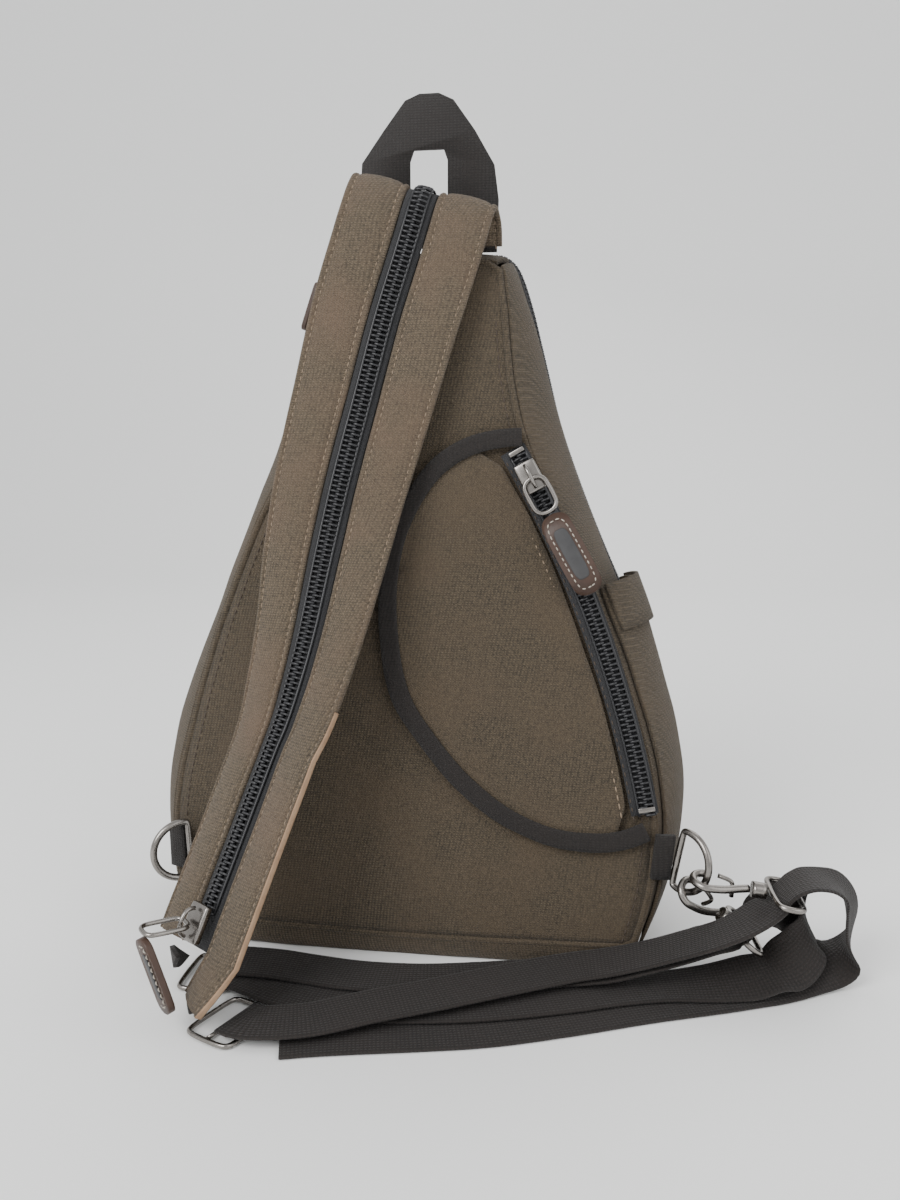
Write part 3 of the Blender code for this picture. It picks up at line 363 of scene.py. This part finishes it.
def cloth(name, dark, light, warm, pitch=0.85, uv=False, depth=0.5, rough=0.92, strength=0.85):
    """Woven cloth: two sets of threads with painted shade in the gaps between them, mottled by dye and by wear."""
    material, tree, shader = node_material(name, light, rough, sheen=0.06)
    coords = add(tree, "ShaderNodeTexCoord")
    source = coords.outputs["UV" if uv else "Object"]
    scale = pitch * MM * (10 if uv else 1)
    first = threads(tree, source, (0, 0, 0 if uv else math.radians(45)), scale)
    second = threads(tree, source, (0, 0, math.radians(90)) if uv else (0, math.radians(90), 0), scale)
    weave = math_node(tree, "MULTIPLY", first, second)
    blotch = add(tree, "ShaderNodeTexNoise")
    blotch.inputs["Scale"].default_value = 26
    blotch.inputs["Detail"].default_value = 6
    tree.links.new(coords.outputs["Object"], blotch.inputs["Vector"])
    speckle = add(tree, "ShaderNodeTexNoise")
    speckle.inputs["Scale"].default_value = 850
    speckle.inputs["Detail"].default_value = 3
    tree.links.new(coords.outputs["Object"], speckle.inputs["Vector"])
    flecks = add(tree, "ShaderNodeMapRange")
    flecks.inputs["From Min"].default_value = 0.24
    flecks.inputs["From Max"].default_value = 0.74
    tree.links.new(speckle.outputs["Fac"], flecks.inputs["Value"])
    # Painted shade: the colour runs dark where the weave's threads dip, for the shade in the gaps between them; the
    # fine flecks are random tone.
    gap_shade_and_flecks = math_node(tree, "ADD", math_node(tree, "MULTIPLY", weave, 0.6),
                      math_node(tree, "MULTIPLY", flecks.outputs["Result"], 0.45))
    base = colour_between(tree, gap_shade_and_flecks, dark, light)
    tint = add(tree, "ShaderNodeMix", data_type="RGBA")
    spread = add(tree, "ShaderNodeMapRange")
    spread.inputs["From Min"].default_value = 0.42
    spread.inputs["From Max"].default_value = 0.72
    spread.inputs["To Max"].default_value = 0.55
    tree.links.new(blotch.outputs["Fac"], spread.inputs["Value"])
    tree.links.new(spread.outputs["Result"], tint.inputs[0])
    tree.links.new(base, tint.inputs[6])
    tint.inputs[7].default_value = (*warm, 1)
    tree.links.new(tint.outputs[2], shader.inputs["Base Color"])
    bump = add(tree, "ShaderNodeBump")
    bump.inputs["Strength"].default_value = strength
    bump.inputs["Distance"].default_value = depth * MM
    height = math_node(tree, "ADD", weave, math_node(tree, "MULTIPLY", speckle.outputs["Fac"], 0.5))
    tree.links.new(height, bump.inputs["Height"])
    tree.links.new(bump.outputs["Normal"], shader.inputs["Normal"])
    return material


def worn_metal(name, colour, roughness):
    material, tree, shader = node_material(name, colour, roughness, metallic=1.0)
    coords = add(tree, "ShaderNodeTexCoord")
    wear = add(tree, "ShaderNodeTexNoise")
    wear.inputs["Scale"].default_value = 210
    wear.inputs["Detail"].default_value = 5
    tree.links.new(coords.outputs["Object"], wear.inputs["Vector"])
    dark = tuple(c * 0.62 for c in colour)
    tree.links.new(colour_between(tree, wear.outputs["Fac"], dark, colour), shader.inputs["Base Color"])
    rough = add(tree, "ShaderNodeMapRange")
    rough.inputs["To Min"].default_value = roughness * 0.7
    rough.inputs["To Max"].default_value = roughness * 1.5
    tree.links.new(wear.outputs["Fac"], rough.inputs["Value"])
    tree.links.new(rough.outputs["Result"], shader.inputs["Roughness"])
    return material


def grained(name, dark, light, roughness, scale, bump_depth, coat=0.0):
    material, tree, shader = node_material(name, light, roughness, coat=coat)
    coords = add(tree, "ShaderNodeTexCoord")
    cells = add(tree, "ShaderNodeTexVoronoi")
    cells.inputs["Scale"].default_value = scale
    tree.links.new(coords.outputs["Object"], cells.inputs["Vector"])
    cloud = add(tree, "ShaderNodeTexNoise")
    cloud.inputs["Scale"].default_value = scale * 0.12
    cloud.inputs["Detail"].default_value = 8
    tree.links.new(coords.outputs["Object"], cloud.inputs["Vector"])
    tree.links.new(colour_between(tree, cloud.outputs["Fac"], dark, light), shader.inputs["Base Color"])
    bump = add(tree, "ShaderNodeBump")
    bump.inputs["Strength"].default_value = 0.5
    bump.inputs["Distance"].default_value = bump_depth * MM
    tree.links.new(cells.outputs["Distance"], bump.inputs["Height"])
    tree.links.new(bump.outputs["Normal"], shader.inputs["Normal"])
    return material


# Painted light and shade: the strap's canvas is the body's canvas painted lighter for the light that falls on the
# strap, and the body's canvas is painted darker for the shade on the body.
canvas = cloth("canvas", (0.016, 0.012, 0.007), (0.152, 0.113, 0.068), (0.090, 0.062, 0.036), pitch=1.15)
lit_strap_canvas = cloth("lit_strap_canvas", (0.030, 0.022, 0.014), (0.220, 0.166, 0.106), (0.150, 0.096, 0.062),
                     pitch=1.15)
webbing_cloth = cloth("webbing_cloth", (0.003, 0.002, 0.0015), (0.019, 0.012, 0.009), (0.012, 0.007, 0.005),
                      pitch=1.7, uv=True, depth=0.45, rough=0.8)
binding_cloth = cloth("binding_cloth", (0.003, 0.002, 0.0015), (0.019, 0.012, 0.009),
                      (0.012, 0.007, 0.005), pitch=1.3, depth=0.4, rough=0.8)
zip_cloth = cloth("zip_cloth", (0.006, 0.006, 0.007), (0.026, 0.026, 0.029), (0.016, 0.016, 0.018),
                  pitch=0.8, depth=0.25, rough=0.75)
lining_cloth = cloth("lining_cloth", (0.03, 0.027, 0.024), (0.08, 0.075, 0.066), (0.055, 0.05, 0.045), pitch=0.5)
coil_nylon = grained("coil_nylon", (0.006, 0.006, 0.007), (0.020, 0.020, 0.023), 0.38, 1500, 0.02)
leather = grained("leather", (0.020, 0.009, 0.005), (0.062, 0.029, 0.016), 0.5, 1300, 0.10)
patch_leather = grained("patch_leather", (0.020, 0.020, 0.021), (0.050, 0.049, 0.050), 0.6, 1500, 0.08)
raw_edge = grained("raw_edge", (0.22, 0.13, 0.075), (0.40, 0.27, 0.17), 0.85, 1800, 0.15)
nickel = worn_metal("nickel", (0.30, 0.28, 0.26), 0.24)
thread_dark = grained("thread_dark", (0.030, 0.021, 0.015), (0.075, 0.055, 0.040), 0.8, 2500, 0.04)
thread_light = grained("thread_light", (0.30, 0.27, 0.22), (0.48, 0.44, 0.38), 0.75, 2500, 0.04)
thread_tan = grained("thread_tan", (0.16, 0.115, 0.075), (0.27, 0.205, 0.145), 0.8, 2500, 0.04)


# ---------------------------------------------------------------- camera, light and floor
def build_stage():
    camera = bpy.data.objects.new("camera", bpy.data.cameras.new("camera"))
    camera.data.lens = 29.13
    camera.data.sensor_width = 36
    camera.location = (0.0906, -0.4972, 0.244)
    camera.rotation_euler = (math.radians(81.5), 0, math.radians(8))
    bpy.context.scene.collection.objects.link(camera)
    bpy.context.scene.camera = camera
    lamps = (("key", (-0.75, -1.15, 1.05), 0.8, 21), ("fill", (1.2, -0.8, 0.9), 1.2, 7),
             ("back", (0.3, 1.2, 1.4), 1.4, 9))
    for name, place, size, power in lamps:
        lamp = bpy.data.lights.new(name, "AREA")
        lamp.size = size
        lamp.energy = power
        holder = bpy.data.objects.new(name, lamp)
        holder.location = place
        holder.rotation_euler = (Vector((0, 0, 0.15)) - Vector(place)).to_track_quat("-Z", "Y").to_euler()
        bpy.context.scene.collection.objects.link(holder)
    world = bpy.data.worlds.new("studio")
    world.use_nodes = True
    world.node_tree.nodes["Background"].inputs["Color"].default_value = (0.93, 0.94, 0.95, 1)
    world.node_tree.nodes["Background"].inputs["Strength"].default_value = 1.05
    bpy.context.scene.world = world
    bm = bmesh.new()
    profile = [(-2.2, 0.0)] + [(1.3 + 0.7 * math.sin(a), 0.7 - 0.7 * math.cos(a))
                               for a in (math.radians(90 * k / 12) for k in range(13))] + [(2.0, 2.4)]
    rows = [[bm.verts.new((x, y, z)) for x in (-3, 3)] for y, z in profile]
    for first, second in zip(rows, rows[1:]):
        bm.faces.new((first[0], first[1], second[1], second[0]))
    mesh = mesh_from("floor", bm)
    floor_paint, tree, shader = node_material("floor_paint", (0.90, 0.90, 0.89), 0.6)
    mesh.materials.append(floor_paint)
    mesh.shade_smooth()
    floor = bpy.data.objects.new("floor", mesh)
    bpy.context.scene.collection.objects.link(floor)


# ---------------------------------------------------------------- webbing
def webbing_section(i):
    """Rounded selvedges and a slight crown, going round the band."""
    half = WEBBING_THICKNESS / 2 * MM
    shares = (-0.5, -0.492, -0.47, -0.42, -0.2, 0, 0.2, 0.42, 0.47, 0.492, 0.5)
    heights = (0.25, 0.75, 1.0, 0.93, 0.90, 0.93, 0.90, 0.93, 1.0, 0.75, 0.25)
    top = [(s, h * half) for s, h in zip(shares, heights)]
    return top + [(s, -h) for s, h in reversed(top)]


def build_webbing(name, node, route):
    middle = smooth([Vector(p) * MM for p, _ in route], 5)
    across = smooth([Vector(a).normalized() for _, a in route], 5)
    rows = frames_along(middle, across)
    band = loft(name, rows, [WEBBING_WIDTH * MM] * len(rows), webbing_section, webbing_cloth, "bag")
    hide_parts(node)
    length = sum((b - a).length for a, b in zip(middle, middle[1:]))
    return length


# ---------------------------------------------------------------- strap
def strap_rows():
    """Frames and half widths down the strap's zip line."""
    stations = list(STRAP) + [STRAP_FOOT]
    head = smooth([Vector(p) * MM for p, _, _ in STRAP], 5)
    sides = smooth([Vector(a).normalized() for _, a, _ in STRAP], 5)
    half = [v.x for v in smooth([Vector((w, 0, 0)) * MM for _, _, w in STRAP], 5)]
    last, foot, tip = Vector(STRAP[-1][0]) * MM, Vector(STRAP_FOOT[0]) * MM, Vector(STRAP_TIP[0]) * MM
    for k in range(1, 13):
        head.append(last.lerp(foot, k / 12))
        sides.append(Vector(STRAP[-1][1]).normalized())
        half.append(half[-1] + (STRAP_FOOT[2] * MM - half[-1]) * k / 12)
    for k in range(1, 4):
        head.append(foot.lerp(tip, k / 3))
        sides.append(Vector(STRAP[-1][1]).lerp(Vector(STRAP_TIP[1]), k / 3).normalized())
        half.append(STRAP_FOOT[2] * MM)
    rows = []
    for i, point in enumerate(head):
        along = (head[min(i + 1, len(head) - 1)] - head[max(i - 1, 0)]).normalized()
        rows.append((point, along, sides[i], along.cross(sides[i]).normalized()))
    return rows, half


def padded_section(i):
    """A flat hem, a sewn channel and a padded middle, going round the half."""
    shares = (-0.5, -0.49, -0.46, -0.42, -0.39, -0.36, -0.30, -0.15, 0,
              0.15, 0.30, 0.36, 0.39, 0.42, 0.46, 0.49, 0.5)
    heights = (0.5, 1.25, 1.75, 1.7, 1.05, 1.75, 2.25, 2.75, 2.9,
               2.75, 2.25, 1.75, 1.05, 1.7, 1.75, 1.25, 0.5)
    top = [(s, h * MM) for s, h in zip(shares, heights)]
    return top + [(s, -h * 0.85) for s, h in reversed(top)]


def build_strap():
    rows, half = strap_rows()
    edge = STRAP_GAP / 2 * MM
    for sign, node, drop in ((-1, "strap_half_left", 3), (1, "strap_half_right", 0)):
        count = len(rows) - drop
        line = [(p + s * sign * (edge + half[i] / 2), a, s, n) for i, (p, a, s, n) in enumerate(rows[:count])]
        ripple = [(p + n * noise.noise(p * 60) * 0.5 * MM, a, s, n) for p, a, s, n in line]
        pad = loft(node + "_look", ripple, half[:count], padded_section, lit_strap_canvas, bodies[node])
        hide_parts(node)
        for place in (-0.39, 0.39):
            for face in (1, -1):
                normals = [n * face for _, _, _, n in line]
                points = [p + s * place * half[i] + n * face * (1.05 if face > 0 else 0.9) * MM
                          for i, (p, _, s, n) in enumerate(line)]
                stitches(f"{node}_stitch_{'in' if place < 0 else 'out'}_{'top' if face > 0 else 'under'}",
                         points, normals, thread_tan, "bag", pitch=3.6, dash=2.6, thick=0.36)
        if sign > 0:
            low = count - 22
            rim = [(p + s * half[low + i] / 2, a, n, s) for i, (p, a, s, n) in enumerate(line[low:])]
            loft("strap_raw_edge", rim, [3.2 * MM] * len(rim),
                 lambda i: ((-0.5, 0.1 * MM), (-0.3, 0.35 * MM), (0.3, 0.35 * MM), (0.5, 0.1 * MM), (0, -0.3 * MM)),
                 raw_edge, "bag")
    return rows


# ---------------------------------------------------------------- zips
def coil_teeth(name, rows, node, width=7.6, pitch=1.25, gauge=0.62, lift=0.0):
    """Two interlocked nylon coils: loops that lean in from each side in turn."""
    bm = bmesh.new()
    run, want, turn = 0.0, 0.0, 0
    for (a, _, side, normal), (b, _, _, _) in zip(rows, rows[1:]):
        step = b - a
        if step.length < 1e-7:
            continue
        along = step.normalized()
        while want <= run + step.length:
            centre = a + along * (want - run) + normal * lift * MM
            sign = 1 if turn % 2 else -1
            spine = [(sign * width / 2, -0.5), (sign * width * 0.44, 0.55), (sign * width * 0.22, 0.95),
                     (-sign * 0.4, 0.85), (-sign * width * 0.13, 0.1)]
            rings = []
            for k, (across, high) in enumerate(spine):
                size = gauge * (0.85, 1, 1, 1.25, 0.8)[k]
                middle = centre + side * across * MM + normal * high * MM
                rings.append([bm.verts.new(middle + (along * math.cos(q) + normal * math.sin(q)) * size * MM)
                              for q in (math.radians(60 * j) for j in range(6))])
            for first, second in zip(rings, rings[1:]):
                for j in range(6):
                    bm.faces.new((first[j], first[(j + 1) % 6], second[(j + 1) % 6], second[j]))
            bm.faces.new(rings[0])
            bm.faces.new(rings[-1])
            want += pitch * MM
            turn += 1
        run += step.length
    for sign in (-1, 1):
        previous = None
        for point, _, side, normal in rows:
            middle = point + side * sign * width / 2 * MM + normal * (lift - 0.35) * MM
            ring = [bm.verts.new(middle + (side * math.cos(q) + normal * math.sin(q)) * 0.75 * MM)
                    for q in (math.radians(60 * j) for j in range(6))]
            if previous:
                for j in range(6):
                    bm.faces.new((previous[j], previous[(j + 1) % 6], ring[(j + 1) % 6], ring[j]))
            else:
                bm.faces.new(ring)
            previous = ring
        bm.faces.new(previous)
    teeth = new_object(name, mesh_from(name, bm), coil_nylon, bodies[node])
    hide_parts(node)
    return teeth


def pocket_arc():
    """Frames down the curved pocket zip, read from its slider's hinge; positive degrees run down."""
    joint = joints["pocket_slider_run"]
    centre, axis = Vector(joint["pos_m"]), Vector(joint["axis"]).normalized()
    low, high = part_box("pocket_slider")
    start = (Vector(low) + Vector(high)) / 2
    start -= axis * (start - centre).dot(axis)

    def at(degrees, lift, shift=0.0):
        arm = Matrix.Rotation(math.radians(degrees), 3, axis) @ (start - centre)
        out = arm.normalized()
        point = centre + arm + out * shift * MM - axis * lift * MM
        return point, axis.cross(out).normalized(), out, -axis
    return at


def main_zip_rows():
    """Frames along the main zip's coil, from the CAD solid: its corners, taken in order round the bag."""
    mesh = frame["nodes"]["main_zip_coil"].data
    corners = {tuple(round(c, 5) for c in v.co) for v in mesh.vertices}
    order = sorted(corners, key=lambda c: math.atan2(c[0], c[2] - 0.10))
    groups = [[order[0]]]
    for corner in order[1:]:
        last = groups[-1][-1]
        turn = math.atan2(corner[0], corner[2] - 0.10) - math.atan2(last[0], last[2] - 0.10)
        if turn > 0.012:
            groups.append([])
        groups[-1].append(corner)
    middle = [sum((Vector(c) for c in g), Vector()) / len(g) for g in groups if len(g) >= 4]
    middle = smooth(middle, 3)
    rows = frames_along(middle, [Vector((0, 1, 0))] * len(middle))
    return [(p, a, s, n if n.dot(p - Vector((0, p.y, 0.10))) > 0 else -n) for p, a, s, n in rows]


def build_zips(strap):
    at = pocket_arc()
    arc = [at(-1.4 + 19.2 * k / 60, -3.6) for k in range(61)]
    coil_teeth("pocket_teeth", arc, "pocket_zip_coil")
    line = [at(-1.2 + 19.2 * k / 70, -4.85, -6.6) for k in range(71)]
    stitches("pocket_tape_stitch", [p for p, _, _, _ in line], [n for _, _, _, n in line], thread_dark, "bag")
    line = [at(-1.2 + 19.2 * k / 70, -4.3, -12.2) for k in range(71)]
    stitches("pocket_edge_stitch", [p for p, _, _, _ in line], [n for _, _, _, n in line], thread_tan, "bag")
    part = strap[:len(strap) - 5]
    coil_teeth("strap_teeth", part, "strap_zip_coil", width=8.2, lift=1.7)
    coil_teeth("main_teeth", main_zip_rows(), "main_zip_coil", width=6.6)
    for node in ("pocket_zip_tape", "main_zip_tape", "strap_zip_tape_left", "strap_zip_tape_right"):
        refined(node, zip_cloth, 1, soft=False)


# ---------------------------------------------------------------- body
def outline_side(tree, z, sign, inset):
    """A point of the near panel's surface, a distance in from its edge at a height."""
    def hit(x):
        return tree.ray_cast(Vector((x, -0.4, z)), Vector((0, 1, 0)))
    inside, outside = 0.0, sign * 0.16
    if hit(inside)[0] is None:
        return None
    for _ in range(16):
        middle = (inside + outside) / 2
        if hit(middle)[0] is None:
            outside = middle
        else:
            inside = middle
    found = hit(inside - sign * inset * MM)
    return (found[0], found[1]) if found[0] is not None else None


def panel_stitches(panel, name, inset, material, low, high):
    tree = surface_tree(panel)
    for sign, side in ((-1, "left"), (1, "right")):
        found = [outline_side(tree, low + (high - low) * k / 90, sign, inset) for k in range(91)]
        found = [f for f in found if f]
        points = [p + n * 0.1 * MM for p, n in found]
        normals = [n if n.y < 0 else -n for _, n in found]
        stitches(f"{name}_{side}", points, normals, material, "bag")


def seam_welt(panel, name, toward):
    """The turned seam between a panel and its gusset: a cord of canvas that fills the joint."""
    tree = surface_tree(panel)
    heart = Vector((0, 0, 0.12))

    def hit(direction, reach):
        place = heart + direction * reach
        return tree.ray_cast(Vector((place.x, -0.4 * toward, place.z)), Vector((0, toward, 0)))[0]

    points = []
    for k in range(180):
        turn = math.radians(2 * k)
        direction = Vector((math.cos(turn), 0, math.sin(turn)))
        inside, outside = 0.02, 0.30
        for _ in range(18):
            middle = (inside + outside) / 2
            if hit(direction, middle) is None:
                outside = middle
            else:
                inside = middle
        found = hit(direction, inside - 0.4 * MM)
        points.append(found + direction * WELT_RADIUS * MM + Vector((0, toward * 1.2 * MM, 0)))
    bm = bmesh.new()
    rings = []
    for k, point in enumerate(points):
        along = (points[(k + 1) % len(points)] - points[k - 1]).normalized()
        side = along.cross(Vector((0, 1, 0))).normalized()
        rise = along.cross(side)
        rings.append([bm.verts.new(point + (side * math.cos(q) + rise * math.sin(q)) * WELT_RADIUS * MM)
                      for q in (math.radians(36 * j) for j in range(10))])
    for k, first in enumerate(rings):
        second = rings[(k + 1) % len(rings)]
        for j in range(10):
            bm.faces.new((first[j], first[(j + 1) % 10], second[(j + 1) % 10], second[j]))
    new_object(name, mesh_from(name, bm), canvas, "bag")


def build_body():
    for node in ("front_panel", "front_gusset", "gusset_left", "gusset_right", "top_strip", "base_panel",
                 "main_zip_end_left", "main_zip_end_right", "side_pocket", "back_pocket_panel", "back_panel"):
        look = refined(node, canvas)
        if node == "back_panel":
            panel_stitches(look, "panel_seam", 4.0, thread_dark, 0.012, 0.31)
            seam_welt(look, "back_seam", 1)
        if node == "front_panel":
            seam_welt(look, "front_seam", -1)
    refined("side_pocket_hem", canvas)
    refined("carry_handle", binding_cloth, 0, soft=False)
    for node in ("back_pocket_binding", "ring_tab_left", "ring_tab_right",
                 "strap_end_tab_left", "strap_end_tab_right"):
        refined(node, binding_cloth, soft=node == "back_pocket_binding")
    for node in ("back_lining", "inner_slip_pocket"):
        refined(node, lining_cloth)
    refined("back_foam_pad", lining_cloth)
    refined("base_board", patch_leather, 1, soft=False)


# ---------------------------------------------------------------- hardware and pulls
def build_hardware():
    metal = ["main_slider", "pocket_slider", "strap_slider", "pocket_slider_bridge", "strap_slider_bridge",
             "pocket_pull_link", "strap_pull_link", "pocket_zip_top_stop", "pocket_zip_bottom_stop",
             "d_ring_left", "d_ring_right"]
    for number in (1, 2):
        metal += [f"hook_{number}_{part}" for part in ("barrel", "body", "eye", "gate")]
        metal += [f"buckle_{number}_{part}" for part in ("bar", "frame")]
    for node in metal:
        refined(node, nickel, 2, soft=False, crease=math.radians(80))


def tab_frame(node, hinge_name):
    """Middle, long way, wide way and thin way of a flat pull tab."""
    mesh = frame["nodes"][node].data
    points = [v.co.copy() for v in mesh.vertices]
    middle = sum(points, Vector()) / len(points)
    hinge = Vector(joints[hinge_name]["pos_m"])
    points.sort(key=lambda p: (p - hinge).length)
    quarter = len(points) // 4
    near = sum(points[:quarter], Vector()) / quarter
    far = sum(points[-quarter:], Vector()) / quarter
    long_way = (far - near).normalized()
    wide_way = Vector(joints[hinge_name]["axis"]).normalized()
    wide_way = (wide_way - long_way * wide_way.dot(long_way)).normalized()
    return middle, long_way, wide_way, long_way.cross(wide_way).normalized()


def build_pull(node, hinge_name, length, width, thick):
    look = refined(node, leather, 2, soft=False)
    middle, long_way, wide_way, thin = tab_frame(node, hinge_name)
    outline = []
    for k in range(48):
        q = math.radians(360 * k / 48)
        x = math.copysign(abs(math.cos(q)) ** 0.35, math.cos(q)) * (length / 2 - 3.2)
        y = math.copysign(abs(math.sin(q)) ** 0.55, math.sin(q)) * (width / 2 - 2.6)
        outline.append(middle + long_way * x * MM + wide_way * y * MM)
    outline.append(outline[0])
    for face in (1, -1):
        points = [p + thin * face * (thick / 2 + 0.05) * MM for p in outline]
        stitches(f"{node}_stitch_{'front' if face > 0 else 'rear'}", points, [thin * face] * len(points),
                 thread_light, bodies[node], pitch=2.9, dash=2.0, thick=0.32)
        bm = bmesh.new()
        rings = [[bm.verts.new(middle + (p - middle) * size + thin * face * (thick / 2 + high) * MM)
                  for p in outline[:-1]]
                 for size, high in ((0.74, -0.3), (0.74, 0.35), (0.70, 0.45))]
        for first, second in zip(rings, rings[1:]):
            for k in range(len(first)):
                n = (k + 1) % len(first)
                bm.faces.new((first[k], first[n], second[n], second[k]))
        bm.faces.new(rings[0])
        bm.faces.new(rings[-1])
        patch = f"{node}_patch_{'front' if face > 0 else 'rear'}"
        new_object(patch, mesh_from(patch, bm), patch_leather, bodies[node])


build_stage()
build_webbing("outer_webbing", "webbing_outer", OUTER_WEBBING)
build_webbing("inner_webbing", "webbing_inner", INNER_WEBBING)
strap_line = build_strap()
build_zips(strap_line)
build_body()
build_hardware()
build_pull("pocket_pull_tab", "pocket_tab_swing", 42, 15, 3.0)
build_pull("strap_pull_tab", "strap_tab_swing", 34, 14, 2.8)
build_pull("main_pull_tab", "main_tab_lift", 26, 10, 2.4)
